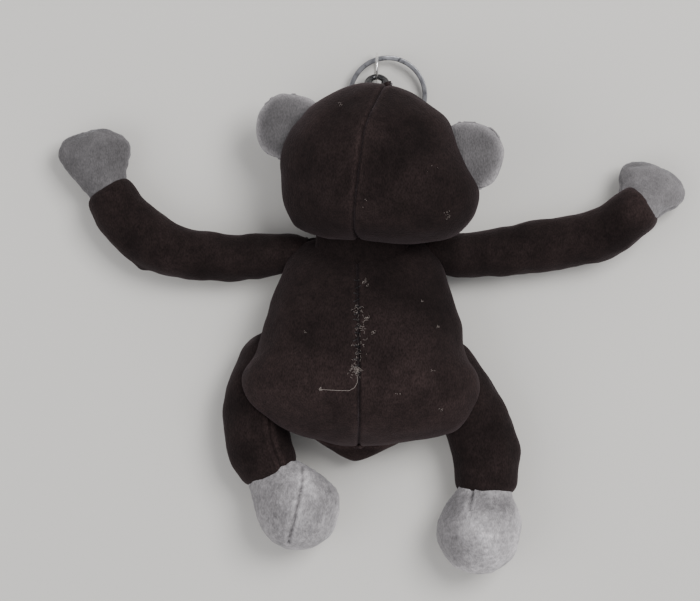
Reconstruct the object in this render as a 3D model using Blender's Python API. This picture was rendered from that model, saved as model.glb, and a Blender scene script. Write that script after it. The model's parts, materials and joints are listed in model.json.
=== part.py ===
"""A stuffed plush monkey on a key ring, lying face down with its arms spread.

Metres, +Z up. The monkey lies on its belly on the plane z = 0 with its back upwards.
+Y runs from the feet to the crown and +X to the right as seen from above. The origin is on
that plane, under the middle of the object's box.

Each fabric panel is an open shell of plush, the stuffing is a solid inside it, and every
moving group hangs from an empty on its joint's axis.
"""

import math

import bmesh
import bpy
from mathutils import Matrix, Vector
from mathutils.bvhtree import BVHTree

MM = 0.001

# Driving dimensions
GAP = 0.3 * MM  # clearance between neighbouring solids
FABRIC = 1.5 * MM  # plush, backing and pile together
LIMB_SIDES = 12
BODY_SIDES = 20
JOINT_CLEARANCE = 0.6 * MM  # round a limb's ball end

# Torso: (y, half width, half depth, height of the middle), from the neck to the bottom
TORSO_X = -3.8 * MM
TORSO_STATIONS = (
    (22.2, 0.0, 0.0, 14.0),
    (21.2, 11.5, 6.0, 14.0),
    (18.8, 19.0, 9.6, 14.6),
    (12.8, 25.0, 13.8, 15.4),
    (4.0, 28.3, 16.8, 16.5),
    (-4.0, 31.0, 18.4, 17.4),
    (-12.0, 34.4, 19.6, 18.0),
    (-19.5, 37.2, 20.0, 18.4),
    (-27.0, 36.2, 18.8, 18.4),
    (-33.0, 30.5, 15.8, 18.2),
    (-37.8, 20.0, 11.0, 17.4),
    (-40.2, 9.0, 5.0, 16.8),
    (-40.9, 0.0, 0.0, 16.6),
)
SIDE_SEAM_Z = 14.0 * MM
BELLY_TIP = 7.4 * MM  # how far the belly panel bulges past the back panels' hem
BELLY_TIP_START = -22.0 * MM  # the y at which it starts to bulge
BELLY_TIP_FADE = 16.0 * MM
BELLY_TIP_HALF_WIDTH = 17.0 * MM

# Head, in its own frame: (y, half width, half depth), from the crown to the chin
HEAD_CENTRE = Vector((2.6, 46.4, 26.4)) * MM
HEAD_TILT = math.radians(-11.8)
HEAD_ROLL = math.radians(-11.0)
HEAD_STATIONS = (
    (24.2, 0.0, 0.0),
    (22.6, 9.0, 7.0),
    (18.6, 16.6, 13.0),
    (12.0, 23.6, 18.2),
    (4.0, 28.6, 21.4),
    (-4.0, 31.6, 22.2),
    (-11.5, 31.0, 21.0),
    (-18.0, 28.0, 17.2),
    (-22.6, 21.5, 11.0),
    (-24.4, 13.0, 5.6),
    (-25.0, 0.0, 0.0),
)
FACE_SEAM_Z = -11.0 * MM  # the face panel lies below this, in the head's frame
EAR_SIZE = Vector((11.0, 10.8, 3.2)) * MM
EAR_PLACES = {"left": Vector((-30.0, 5.2, 0.6)) * MM, "right": Vector((26.8, 7.4, -0.6)) * MM}
MUZZLE_PLACE = Vector((0.0, -8.0, -20.5)) * MM
MUZZLE_SIZE = Vector((15.5, 11.0, 7.5)) * MM
EYE_PLACES = {"left": Vector((-9.0, 6.5, 0.0)) * MM, "right": Vector((9.0, 6.5, 0.0)) * MM}
EYE_R = 3.4 * MM
EYE_DOME = 2.2 * MM
EYE_STEM_R = 1.2 * MM
EYE_SEAT = 0.5 * MM  # from the face's surface to the flat back of the eye
EYE_STEM = 5.0 * MM
EYE_WASHER_R = 4.2 * MM
EYE_WASHER_AT = 2.9 * MM
EYE_WASHER_T = 1.0 * MM

# Joints: the pivot of each moving group
NECK = Vector((-2.8, 21.0, 18.0)) * MM
SHOULDERS = {"left": Vector((-29.6, 17.8, 11.6)) * MM, "right": Vector((23.2, 17.8, 11.6)) * MM}
WRISTS = {"left": Vector((-82.4, 38.2, 8.9)) * MM, "right": Vector((83.0, 32.4, 16.2)) * MM}
HIPS = {"left": Vector((-29.6, -17.0, 10.5)) * MM, "right": Vector((23.4, -18.0, 10.5)) * MM}
ANKLES = {"left": Vector((-30.8, -51.2, 11.6)) * MM, "right": Vector((36.0, -56.0, 11.6)) * MM}
SHOULDER_DROP = math.radians(45.0)
HIP_SWING = math.radians(12.0)

# Limbs: (x, y, z, radius) between the pivots at either end
SHOULDER_R = 7.0 * MM
WRIST_R = 6.9 * MM
HIP_R = 9.4 * MM
ANKLE_R = 9.0 * MM
ARM_ROUTES = {
    "left": (
        (-37.0, 17.2, 10.2, 7.1),
        (-45.0, 17.2, 9.2, 7.5),
        (-57.0, 18.6, 8.6, 8.1),
        (-69.0, 22.8, 8.9, 8.7),
        (-77.4, 30.4, 8.9, 8.5),
    ),
    "right": (
        (31.4, 18.3, 10.2, 7.1),
        (41.0, 19.2, 9.2, 7.8),
        (54.4, 21.2, 8.8, 8.3),
        (68.0, 23.6, 10.2, 8.2),
        (75.0, 26.0, 13.0, 8.0),
    ),
}
LEG_ROUTES = {
    "left": (
        (-34.8, -25.0, 10.9, 10.2),
        (-36.3, -33.6, 10.9, 10.5),
        (-35.0, -41.6, 10.9, 10.4),
    ),
    "right": (
        (28.8, -26.2, 10.9, 10.2),
        (33.2, -35.0, 11.1, 10.7),
        (36.0, -45.0, 11.1, 10.7),
    ),
}
# Hands and feet: direction from the pivot, then (distance, half width, half depth)
HAND_DIRECTIONS = {"left": (-0.44, 0.89, -0.07), "right": (0.38, 0.60, -0.70)}
HAND_SECTIONS = (
    (5.0, 7.9, 6.7),
    (10.0, 10.3, 6.7),
    (14.2, 11.3, 6.2),
    (17.6, 9.8, 5.0),
    (19.6, 6.0, 3.0),
    (20.3, 0.0, 0.0),
)
FOOT_DIRECTIONS = {"left": (0.59, -0.80, 0.07), "right": (-0.17, -0.98, 0.07)}
FOOT_SECTIONS = (
    (4.5, 10.8, 10.4),
    (9.5, 12.9, 12.2),
    (14.0, 13.2, 12.6),
    (18.6, 11.9, 11.4),
    (22.6, 8.2, 8.0),
    (25.0, 4.0, 4.0),
    (25.8, 0.0, 0.0),
)
CUFF_SETBACK = 5.2 * MM  # from the pivot back to the sleeve's open end

# Hanging loop, jump ring and split ring
CORD_R = 0.85 * MM
LOOP_HALF_WIDTH = 2.65 * MM
LOOP_APEX = Vector((1.9, 74.3, 5.0)) * MM
LOOP_ROOT = Vector((1.9, 63.4, 13.6)) * MM
JUMP_CENTRE = Vector((1.9, 77.3, 5.05)) * MM
JUMP_R = 4.4 * MM
JUMP_WIRE_R = 0.4 * MM
SPLIT_CENTRE = Vector((5.3, 68.7, 2.75)) * MM
SPLIT_R = 11.75 * MM
SPLIT_WIDTH = 1.5 * MM
SPLIT_LAYER = 0.85 * MM
SPLIT_SLIT = 0.1 * MM
SPLIT_TILT = math.radians(8.2)
SPLIT_STEP_AT = math.radians(84.0)
SPLIT_RAMP = math.radians(12.0)


def clear_scene():
    for item in list(bpy.data.objects):
        bpy.data.objects.remove(item, do_unlink=True)


def make_material(name, colour, roughness, metallic=0.0):
    material = bpy.data.materials.new(name)
    material.use_nodes = True
    shader = material.node_tree.nodes["Principled BSDF"]
    shader.inputs["Base Color"].default_value = (*colour, 1.0)
    shader.inputs["Roughness"].default_value = roughness
    shader.inputs["Metallic"].default_value = metallic
    material.diffuse_color = (*colour, 1.0)
    return material


def make_pivot(name, place, parent=None):
    """An empty on a joint's axis, which the moving pieces hang from."""
    pivot = bpy.data.objects.new(name, None)
    pivot.empty_display_size = 5 * MM
    bpy.context.scene.collection.objects.link(pivot)
    pivot.parent = parent
    offset = parent.matrix_world.translation if parent else Vector()
    pivot.location = place - offset
    bpy.context.view_layer.update()
    return pivot


def add_piece(name, points, faces, material=None, parent=None):
    """An object from world-space points, with its origin on its parent's."""
    mesh = bpy.data.meshes.new(name)
    origin = parent.matrix_world.translation if parent else Vector()
    mesh.from_pydata([Vector(point) - origin for point in points], [], faces)
    work = bmesh.new()
    work.from_mesh(mesh)
    bmesh.ops.recalc_face_normals(work, faces=work.faces)
    work.to_mesh(mesh)
    work.free()
    mesh.shade_smooth()
    mesh.set_sharp_from_angle(angle=math.radians(40))
    piece = bpy.data.objects.new(name, mesh)
    bpy.context.scene.collection.objects.link(piece)
    piece.parent = parent
    if material:
        mesh.materials.append(material)
    else:
        piece.hide_render = True
        piece.display_type = "WIRE"
    return piece


def cut(piece, cutter, operation="DIFFERENCE"):
    modifier = piece.modifiers.new(f"{operation.lower()} {cutter.name}", "BOOLEAN")
    modifier.operation = operation
    modifier.object = cutter
    modifier.solver = "EXACT"


def skin_rings(rings, start=None, end=None):
    """Points and faces of a tube through rings of equal count, closed at its two end points,
    or joined from the last ring back to the first where there are none."""
    sides = len(rings[0])
    points = [point for ring in rings for point in ring]
    faces = []
    bands = len(rings) - 1 if start is not None else len(rings)
    for band in range(bands):
        low = band * sides
        high = (band + 1) % len(rings) * sides
        for side in range(sides):
            after = (side + 1) % sides
            faces.append((low + side, low + after, high + after, high + side))
    if start is not None:
        points += [start, end]
        last = (len(rings) - 1) * sides
        for side in range(sides):
            after = (side + 1) % sides
            faces.append((after, side, len(points) - 2))
            faces.append((last + side, last + after, len(points) - 1))
    return points, faces


def ellipse(centre, across, up, half_width, half_depth, sides):
    turn = math.tau / sides
    return [
        centre + across * (half_width * math.cos(turn * k)) + up * (half_depth * math.sin(turn * k))
        for k in range(sides)
    ]


def moved_inwards(points, faces, distance):
    """The same surface moved inwards by a distance, or outwards by a negative one."""
    work = bmesh.new()
    corners = [work.verts.new(point) for point in points]
    for face in faces:
        work.faces.new([corners[index] for index in face])
    bmesh.ops.recalc_face_normals(work, faces=work.faces)
    work.normal_update()
    moved = [corner.co - corner.normal * distance for corner in corners]
    work.free()
    return moved


def add_box(name, low, high, frame=None):
    """A cutting box between two corners, in world space or in a given frame."""
    frame = frame or Matrix()
    corners = [
        frame @ Vector((x, y, z))
        for x in (low[0], high[0])
        for y in (low[1], high[1])
        for z in (low[2], high[2])
    ]
    faces = [(0, 1, 3, 2), (4, 6, 7, 5), (0, 4, 5, 1), (2, 3, 7, 6), (0, 2, 6, 4), (1, 5, 7, 3)]
    return add_piece(name, corners, faces)


def sphere_surface(centre, radius, sides=16):
    rings = []
    bands = sides // 2
    for band in range(1, bands):
        angle = math.pi * band / bands
        middle = centre + Vector((0, 0, radius * math.cos(angle)))
        wide = radius * math.sin(angle)
        rings.append(ellipse(middle, Vector((1, 0, 0)), Vector((0, 1, 0)), wide, wide, sides))
    top = centre + Vector((0, 0, radius))
    bottom = centre - Vector((0, 0, radius))
    return skin_rings(rings, top, bottom)


def cylinder_surface(foot, head, radius, sides=16):
    axis = (head - foot).normalized()
    across = axis.orthogonal().normalized()
    up = axis.cross(across)
    rings = [ellipse(end, across, up, radius, radius, sides) for end in (foot, head)]
    return skin_rings(rings, foot, head)


def section_axes(direction):
    """The level direction across a limb, and the one square to it and to the limb."""
    across = Vector((direction.y, -direction.x, 0.0)).normalized()
    return across, across.cross(direction).normalized()


def limb_rings(pivot, root_r, route, inset, cap_from):
    """Rings of a limb: a ball end about the pivot from the angle cap_from, then the route."""
    first = (route[0].xyz - pivot).normalized()
    across, up = section_axes(first)
    rings = []
    for angle in range(cap_from, 90, 30):
        turn = math.radians(angle)
        wide = (root_r - inset) * math.sin(turn)
        middle = pivot - first * ((root_r - inset) * math.cos(turn))
        rings.append(ellipse(middle, across, up, wide, wide, LIMB_SIDES))
    rings.append(ellipse(pivot, across, up, root_r - inset, root_r - inset, LIMB_SIDES))
    places = [pivot, *[station.xyz for station in route]]
    for index in range(1, len(places)):
        ahead = places[min(index + 1, len(places) - 1)]
        across, up = section_axes((ahead - places[index - 1]).normalized())
        wide = route[index - 1].w - inset
        rings.append(ellipse(places[index], across, up, wide, wide, LIMB_SIDES))
    return rings, first


def limb_stations(rows, pivot, far_pivot, far_r):
    """A limb's route with its radius, ending at the open cuff just short of the far pivot."""
    route = [Vector(row) * MM for row in rows]
    back = (route[-1].xyz - far_pivot).normalized()
    cuff = far_pivot + back * CUFF_SETBACK
    route.append(Vector((*cuff, far_r + 0.6 * MM)))
    return route


def make_limb(name, side, pivot, root_r, route, holder, black, filling):
    """A sleeve with a round closed root and an open cuff, and the stuffing inside it."""
    outer, first = limb_rings(pivot, root_r, route, 0.0, 30)
    inner, _ = limb_rings(pivot, root_r, route, FABRIC, 30)
    points, faces = skin_rings(
        outer + inner[::-1],
        pivot - first * root_r,
        pivot - first * (root_r - FABRIC),
    )
    add_piece(f"{name}_{side}", points, faces, black, holder)
    inset = FABRIC + GAP
    core, _ = limb_rings(pivot, root_r, route[:-1], inset, 30)
    last = route[-2].xyz
    onward = (route[-1].xyz - last).normalized()
    points, faces = skin_rings(core, pivot - first * (root_r - inset), last + onward * GAP)
    add_piece(f"{name}_stuffing_{side}", points, faces, filling, holder)


def end_rings(pivot, root_r, direction, sections, inset, cap_from):
    """Rings of a hand or foot: the open ball end, then the widening mitten or bulb."""
    across, up = section_axes(direction)
    rings = []
    for angle in (cap_from, (cap_from + 90) // 2, 90):
        turn = math.radians(angle)
        wide = (root_r - inset) * math.sin(turn)
        middle = pivot - direction * ((root_r - inset) * math.cos(turn))
        rings.append(ellipse(middle, across, up, wide, wide, LIMB_SIDES))
    for distance, half_width, half_depth in sections[:-1]:
        middle = pivot + direction * (distance * MM)
        wide = max(half_width * MM - inset, 0.8 * MM)
        deep = max(half_depth * MM - inset, 0.8 * MM)
        if distance * MM < sections[-1][0] * MM - inset:
            rings.append(ellipse(middle, across, up, wide, deep, LIMB_SIDES))
    return rings, pivot + direction * (sections[-1][0] * MM - inset)


def make_end(name, side, pivot, root_r, direction, sections, holder, grey, filling):
    """A hand or foot, open at the wrist or ankle, and the stuffing inside it."""
    direction = Vector(direction).normalized()
    outer, tip = end_rings(pivot, root_r, direction, sections, 0.0, 36)
    inner, inner_tip = end_rings(pivot, root_r, direction, sections, FABRIC, 36)
    rings = outer[::-1] + inner
    points, faces = skin_rings(rings, tip, inner_tip)
    add_piece(f"{name}_{side}", points, faces, grey, holder)
    inset = FABRIC + GAP
    core, core_tip = end_rings(pivot, root_r, direction, sections, inset, 60)
    start = pivot - direction * (root_r - inset) * 0.5
    points, faces = skin_rings(core, start, core_tip)
    add_piece(f"{name}_stuffing_{side}", points, faces, filling, holder)


def torso_surface():
    rings = []
    poles = []
    for y, half_width, half_depth, height in TORSO_STATIONS:
        centre = Vector((TORSO_X, y * MM, height * MM))
        if half_width == 0.0:
            poles.append(centre)
            continue
        across = Vector((1, 0, 0))
        up = Vector((0, 0, 1))
        rings.append(
            ellipse(centre, across, up, half_width * MM, half_depth * MM, BODY_SIDES)
        )
    return skin_rings(rings, *poles)


def settle_torso(points, floor, tip):
    """Lets the belly panel bulge past the hem at the bottom, and flattens the belly."""
    settled = []
    for point in points:
        low = math.sin(math.pi * min(max(point.z / SIDE_SEAM_Z, 0.0), 1.0))
        near = min(max((BELLY_TIP_START - point.y) / BELLY_TIP_FADE, 0.0), 1.0)
        narrow = max(1.0 - ((point.x - TORSO_X) / BELLY_TIP_HALF_WIDTH) ** 2, 0.0)
        y = point.y - tip * low * near * narrow
        settled.append(Vector((point.x, y, max(point.z, floor))))
    return settled


def head_frame():
    """The head's own frame: tilted to one side and rolled a little."""
    return (
        Matrix.Translation(HEAD_CENTRE)
        @ Matrix.Rotation(HEAD_TILT, 4, "Z")
        @ Matrix.Rotation(HEAD_ROLL, 4, "Y")
    )


def head_surface():
    rings = []
    poles = []
    for y, half_width, half_depth in HEAD_STATIONS:
        centre = Vector((0, y * MM, 0))
        if half_width == 0.0:
            poles.append(centre)
            continue
        across = Vector((1, 0, 0))
        up = Vector((0, 0, 1))
        rings.append(
            ellipse(centre, across, up, half_width * MM, half_depth * MM, BODY_SIDES)
        )
    points, faces = skin_rings(rings, *poles)
    return [head_frame() @ point for point in points], faces


def add_sweep(name, pivot, rings, angles):
    """The room that a limb sweeps near its pivot: the hull of its rings at each angle."""
    work = bmesh.new()
    for angle in angles:
        turn = Matrix.Rotation(angle, 3, "Z")
        for point in (point for ring in rings for point in ring):
            work.verts.new(pivot + turn @ (point - pivot))
    hull = bmesh.ops.convex_hull(work, input=work.verts)
    bmesh.ops.delete(work, geom=hull["geom_interior"], context="VERTS")
    work.verts.index_update()
    points = [corner.co.copy() for corner in work.verts]
    faces = [[corner.index for corner in face.verts] for face in work.faces]
    work.free()
    return add_piece(name, points, faces)


def add_shoulder_room(side):
    """The socket in the side seam that an arm's ball end turns in."""
    pivot = SHOULDERS[side]
    route = [Vector(row) * MM for row in ARM_ROUTES[side][:2]]
    rings, _ = limb_rings(pivot, SHOULDER_R, route, -JOINT_CLEARANCE, 30)
    lowered = SHOULDER_DROP if side == "left" else -SHOULDER_DROP
    return add_sweep(f"shoulder_room_{side}", pivot, rings, (0.0, lowered / 2, lowered))


def add_hip_room(side):
    """The hollow under the back panel's hem that the top of a leg lies in."""
    pivot = HIPS[side]
    route = limb_stations(LEG_ROUTES[side], pivot, ANKLES[side], ANKLE_R)
    rings, _ = limb_rings(pivot, HIP_R, route, -JOINT_CLEARANCE, 30)
    return add_sweep(f"hip_room_{side}", pivot, rings, (-HIP_SWING, 0.0, HIP_SWING))


def make_torso(root, black, filling):
    outer, faces = torso_surface()
    inner = moved_inwards(outer, faces, FABRIC)
    core = moved_inwards(outer, faces, FABRIC + GAP)
    outer = settle_torso(outer, 0.0, BELLY_TIP)
    inner = settle_torso(inner, FABRIC, BELLY_TIP)
    core = settle_torso(core, FABRIC + GAP, BELLY_TIP - 2 * FABRIC)
    hollow = add_piece("torso_hollow", inner, faces)
    rooms = [(side, add_shoulder_room(side)) for side in ("left", "right")]
    rooms += [(side, add_hip_room(side)) for side in ("left", "right")]
    half = GAP / 2
    far = 100 * MM
    boxes = {
        "back_panel_left": ((-far, -far, SIDE_SEAM_Z + half), (TORSO_X - half, far, far)),
        "back_panel_right": ((TORSO_X + half, -far, SIDE_SEAM_Z + half), (far, far, far)),
        "belly_panel": ((-far, -far, -far), (far, far, SIDE_SEAM_Z - half)),
    }
    for name, corners in boxes.items():
        panel = add_piece(name, outer, faces, black, root)
        cut(panel, hollow)
        cut(panel, add_box(f"{name}_side", *corners), "INTERSECT")
        for side, room in rooms:
            if name == "belly_panel" or name.endswith(side):
                cut(panel, room)
    stuffing = add_piece("torso_stuffing", core, faces, filling, root)
    for _, room in rooms:
        cut(stuffing, room)


def eye_frame(side, surface):
    """The frame of an eye: its middle on the face's surface, with +Z along the stem, inwards."""
    frame = head_frame()
    start = frame @ (EYE_PLACES[side] - Vector((0, 0, 60 * MM)))
    inwards = frame.to_3x3() @ Vector((0, 0, 1))
    place, normal, _, _ = surface.ray_cast(start, inwards)
    turn = (-normal).to_track_quat("Z", "Y").to_matrix().to_4x4()
    return Matrix.Translation(place) @ turn


def turned(profile, frame, sides=LIMB_SIDES):
    """Rings of a turned shape about the frame's Z, from (radius, height) pairs."""
    across = frame.to_3x3() @ Vector((1, 0, 0))
    deep = frame.to_3x3() @ Vector((0, 1, 0))
    return [
        ellipse(frame @ Vector((0, 0, height)), across, deep, radius, radius, sides)
        for radius, height in profile
    ]


def make_eye(side, holder, plastic, frame):
    """A safety eye, its stem, and the lock washer pressed on behind the fabric."""
    profile = [
        (EYE_R * math.sin(turn), -EYE_SEAT - EYE_DOME * math.cos(turn))
        for turn in (math.radians(30), math.radians(60), math.radians(90))
    ]
    profile += [(EYE_STEM_R, -EYE_SEAT), (EYE_STEM_R, EYE_STEM)]
    front = frame @ Vector((0, 0, -EYE_SEAT - EYE_DOME))
    back = frame @ Vector((0, 0, EYE_STEM))
    points, faces = skin_rings(turned(profile, frame), front, back)
    add_piece(f"eye_{side}", points, faces, plastic, holder)
    bore = EYE_STEM_R + GAP
    high = EYE_WASHER_AT + EYE_WASHER_T
    profile = (
        (EYE_WASHER_R, EYE_WASHER_AT),
        (EYE_WASHER_R, high),
        (bore, high),
        (bore, EYE_WASHER_AT),
    )
    points, faces = skin_rings(turned(profile, frame))
    add_piece(f"eye_washer_{side}", points, faces, plastic, holder)
    hole_ends = [frame @ Vector((0, 0, height)) for height in (-3 * MM, EYE_WASHER_AT)]
    pocket_ends = [frame @ Vector((0, 0, height)) for height in (0.0, EYE_STEM + GAP)]
    hole = cylinder_surface(*hole_ends, bore)
    pocket = cylinder_surface(*pocket_ends, EYE_WASHER_R + GAP)
    return add_piece(f"eye_hole_{side}", *hole), add_piece(f"eye_pocket_{side}", *pocket)


def make_head(holder, black, grey, filling, plastic):
    frame = head_frame()
    outer, faces = head_surface()
    hollow = add_piece("head_hollow", moved_inwards(outer, faces, FABRIC), faces)
    outside = add_piece("head_outside", moved_inwards(outer, faces, -GAP), faces)
    half = GAP / 2
    far = 100 * MM
    boxes = {
        "head_back_left": ((-far, -far, FACE_SEAM_Z + half), (-half, far, far)),
        "head_back_right": ((half, -far, FACE_SEAM_Z + half), (far, far, far)),
        "face_panel": ((-far, -far, -far), (far, far, FACE_SEAM_Z - half)),
    }
    slot = make_loop(holder, plastic)
    panels = {}
    for name, corners in boxes.items():
        colour = grey if name == "face_panel" else black
        panel = add_piece(name, outer, faces, colour, holder)
        cut(panel, hollow)
        cut(panel, slot)
        cut(panel, add_box(f"{name}_side", *corners, frame), "INTERSECT")
        panels[name] = panel
    surface = BVHTree.FromPolygons(outer, faces)
    core = moved_inwards(outer, faces, FABRIC + GAP)
    stuffing = add_piece("head_stuffing", core, faces, filling, holder)
    cut(stuffing, slot)
    for side in ("left", "right"):
        hole, pocket = make_eye(side, holder, plastic, eye_frame(side, surface))
        cut(panels["face_panel"], hole)
        cut(stuffing, pocket)
        make_ear(side, holder, grey, frame, outside)
    make_muzzle(holder, grey, frame, outside)


def squashed_ball(place, size, frame, floor=None):
    points, faces = sphere_surface(Vector(), 1.0)
    placed = [
        frame @ (place + Vector((point.x * size.x, point.y * size.y, point.z * size.z)))
        for point in points
    ]
    if floor is not None:
        placed = [Vector((point.x, point.y, max(point.z, floor))) for point in placed]
    return placed, faces


def make_ear(side, holder, grey, frame, outside):
    ear = add_piece(
        f"ear_{side}", *squashed_ball(EAR_PLACES[side], EAR_SIZE, frame), grey, holder
    )
    cut(ear, outside)


def make_muzzle(holder, grey, frame, outside):
    muzzle = add_piece(
        "muzzle", *squashed_ball(MUZZLE_PLACE, MUZZLE_SIZE, frame, 0.0), grey, holder
    )
    cut(muzzle, outside)


def tube_surface(route, radius, sides):
    """A round bar along a route that stays in one plane."""
    rings = []
    plane = (route[1] - route[0]).cross(route[len(route) // 2] - route[0]).normalized()
    for index, place in enumerate(route):
        before = route[max(index - 1, 0)]
        after = route[min(index + 1, len(route) - 1)]
        across = (after - before).normalized().cross(plane)
        rings.append(ellipse(place, across, plane, radius, radius, sides))
    return skin_rings(rings, route[0], route[-1])


def make_loop(holder, plastic):
    """The hanging loop: a bight of cord whose two ends are sewn into the crown's seam."""
    reach = LOOP_APEX - LOOP_ROOT
    along = reach.normalized()
    across = Vector((1, 0, 0))
    middle = LOOP_APEX - along * LOOP_HALF_WIDTH
    tail = LOOP_ROOT - along * 4 * MM
    route = [tail - across * LOOP_HALF_WIDTH]
    for step in range(9):
        turn = math.pi * step / 8
        bend = along * math.sin(turn) - across * math.cos(turn)
        route.append(middle + bend * LOOP_HALF_WIDTH)
    route.append(tail + across * LOOP_HALF_WIDTH)
    points, faces = tube_surface(route, CORD_R, 8)
    add_piece("hanging_loop", points, faces, plastic, holder)
    frame = Matrix.Translation(LOOP_ROOT) @ along.to_track_quat("Y", "Z").to_matrix().to_4x4()
    wide = LOOP_HALF_WIDTH + CORD_R + GAP
    thick = CORD_R + GAP
    depth = 4.5 * MM
    return add_box("loop_slot", (-wide, -depth, -thick), (wide, depth, thick), frame)


def make_jump_ring(holder, steel):
    rings = []
    for step in range(24):
        turn = math.tau * step / 24
        outwards = Vector((0, math.cos(turn), math.sin(turn)))
        centre = JUMP_CENTRE + outwards * JUMP_R
        across = Vector((1, 0, 0))
        rings.append(ellipse(centre, across, outwards, JUMP_WIRE_R, JUMP_WIRE_R, 8))
    points, faces = skin_rings(rings)
    add_piece("jump_ring", points, faces, steel, holder)


def split_frame():
    """The split ring's own frame, with the ring's axis along Z."""
    return Matrix.Translation(SPLIT_CENTRE) @ Matrix.Rotation(SPLIT_TILT, 4, "X")


def split_pivot():
    """Where the jump ring holds the split ring: on its wire, level with the hanging loop."""
    aside = LOOP_APEX.x - SPLIT_CENTRE.x
    return split_frame() @ Vector((aside, math.sqrt(SPLIT_R**2 - aside**2), 0.0))


def make_split_ring(holder, steel):
    """Two turns of flat wire that lie on each other, with a step where the wire crosses."""
    frame = split_frame()
    offset = (SPLIT_LAYER + SPLIT_SLIT) / 2
    first = SPLIT_RAMP
    last = 2 * math.tau - SPLIT_RAMP
    steps = 62
    rings = []
    for step in range(steps + 1):
        turn = first + (last - first) * step / steps
        climb = min(max((turn - math.tau) / SPLIT_RAMP, -1.0), 1.0)
        height = offset * math.sin(climb * math.pi / 2)
        angle = turn + SPLIT_STEP_AT
        outwards = Vector((math.cos(angle), math.sin(angle), 0))
        centre = outwards * SPLIT_R + Vector((0, 0, height))
        half_width = outwards * (SPLIT_WIDTH / 2)
        half_height = Vector((0, 0, SPLIT_LAYER / 2))
        corners = [
            centre - half_width - half_height,
            centre + half_width - half_height,
            centre + half_width + half_height,
            centre - half_width + half_height,
        ]
        rings.append([frame @ corner for corner in corners])
    start = sum(rings[0], Vector()) / 4
    end = sum(rings[-1], Vector()) / 4
    points, faces = skin_rings(rings, start, end)
    add_piece("split_ring", points, faces, steel, holder)


def build():
    clear_scene()
    black = make_material("black_plush", (0.030, 0.026, 0.030), 0.95)
    grey = make_material("grey_plush", (0.34, 0.35, 0.37), 0.95)
    filling = make_material("polyester_stuffing", (0.85, 0.85, 0.83), 1.0)
    plastic = make_material("black_gloss", (0.015, 0.014, 0.015), 0.25)
    bright = make_material("bright_steel", (0.80, 0.80, 0.80), 0.12, 1.0)
    steel = make_material("grey_steel", (0.60, 0.60, 0.62), 0.28, 1.0)
    root = make_pivot("torso_origin", Vector())
    make_torso(root, black, filling)
    neck = make_pivot("neck_pivot", NECK, root)
    make_head(neck, black, grey, filling, plastic)
    jump = make_pivot("jump_ring_pivot", LOOP_APEX, neck)
    make_jump_ring(jump, bright)
    ring = make_pivot("split_ring_pivot", split_pivot(), jump)
    make_split_ring(ring, steel)
    for side in ("left", "right"):
        shoulder = make_pivot(f"shoulder_pivot_{side}", SHOULDERS[side], root)
        route = limb_stations(ARM_ROUTES[side], SHOULDERS[side], WRISTS[side], WRIST_R)
        make_limb("arm", side, SHOULDERS[side], SHOULDER_R, route, shoulder, black, filling)
        wrist = make_pivot(f"wrist_pivot_{side}", WRISTS[side], shoulder)
        direction = HAND_DIRECTIONS[side]
        make_end("hand", side, WRISTS[side], WRIST_R, direction, HAND_SECTIONS, wrist, grey, filling)
        hip = make_pivot(f"hip_pivot_{side}", HIPS[side], root)
        route = limb_stations(LEG_ROUTES[side], HIPS[side], ANKLES[side], ANKLE_R)
        make_limb("leg", side, HIPS[side], HIP_R, route, hip, black, filling)
        ankle = make_pivot(f"ankle_pivot_{side}", ANKLES[side], hip)
        direction = FOOT_DIRECTIONS[side]
        make_end("foot", side, ANKLES[side], ANKLE_R, direction, FOOT_SECTIONS, ankle, grey, filling)


build()
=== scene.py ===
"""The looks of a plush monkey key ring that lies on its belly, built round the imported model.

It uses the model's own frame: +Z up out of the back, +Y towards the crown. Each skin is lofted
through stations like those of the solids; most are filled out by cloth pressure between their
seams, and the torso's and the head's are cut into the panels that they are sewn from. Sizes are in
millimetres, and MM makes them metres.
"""

import json
import math
import random

import bpy
import numpy as np
from mathutils import Matrix, Vector, noise
from mathutils.bvhtree import BVHTree


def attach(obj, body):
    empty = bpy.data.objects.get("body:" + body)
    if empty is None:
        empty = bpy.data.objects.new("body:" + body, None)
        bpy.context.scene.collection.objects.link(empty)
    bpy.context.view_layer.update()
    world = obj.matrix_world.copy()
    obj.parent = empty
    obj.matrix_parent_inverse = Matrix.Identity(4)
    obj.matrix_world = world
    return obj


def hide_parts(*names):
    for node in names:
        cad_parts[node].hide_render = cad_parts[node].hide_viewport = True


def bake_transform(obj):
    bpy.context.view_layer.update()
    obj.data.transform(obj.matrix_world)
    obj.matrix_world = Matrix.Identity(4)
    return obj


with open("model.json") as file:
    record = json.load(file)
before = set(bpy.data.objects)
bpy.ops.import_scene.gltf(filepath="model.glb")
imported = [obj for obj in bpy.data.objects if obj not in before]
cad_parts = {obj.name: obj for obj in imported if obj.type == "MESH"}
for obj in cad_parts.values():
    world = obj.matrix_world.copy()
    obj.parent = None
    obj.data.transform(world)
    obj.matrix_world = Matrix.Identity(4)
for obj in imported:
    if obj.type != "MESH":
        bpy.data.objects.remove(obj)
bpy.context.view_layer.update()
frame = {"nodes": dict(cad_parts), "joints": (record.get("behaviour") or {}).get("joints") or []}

MM = 0.001
PIVOTS = {joint["name"]: np.array(joint["pos_m"]) / MM for joint in frame["joints"]}
SIDES = ("left", "right")

FLOOR_GAP = 0.25  # how far above the floor a skin is flattened
CLOTH_SCALE = 10.0  # the cloth is simulated this many times larger
CLOTH_FRAMES = 20
CLOTH_FILLS = {  # how hard each kind of skin is filled, and how far a point may then move
    "torso": (35.0, 0.9),
    "head": (60.0, 0.9),
    "ear": (60.0, 0.5),
    "sleeve": (350.0, 0.4),
    "end": (350.0, 0.5),
}
PANEL_THICKNESS = 0.8
SEAM_DEPTH = 1.1
SEAM_WIDTH = 1.0

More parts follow.
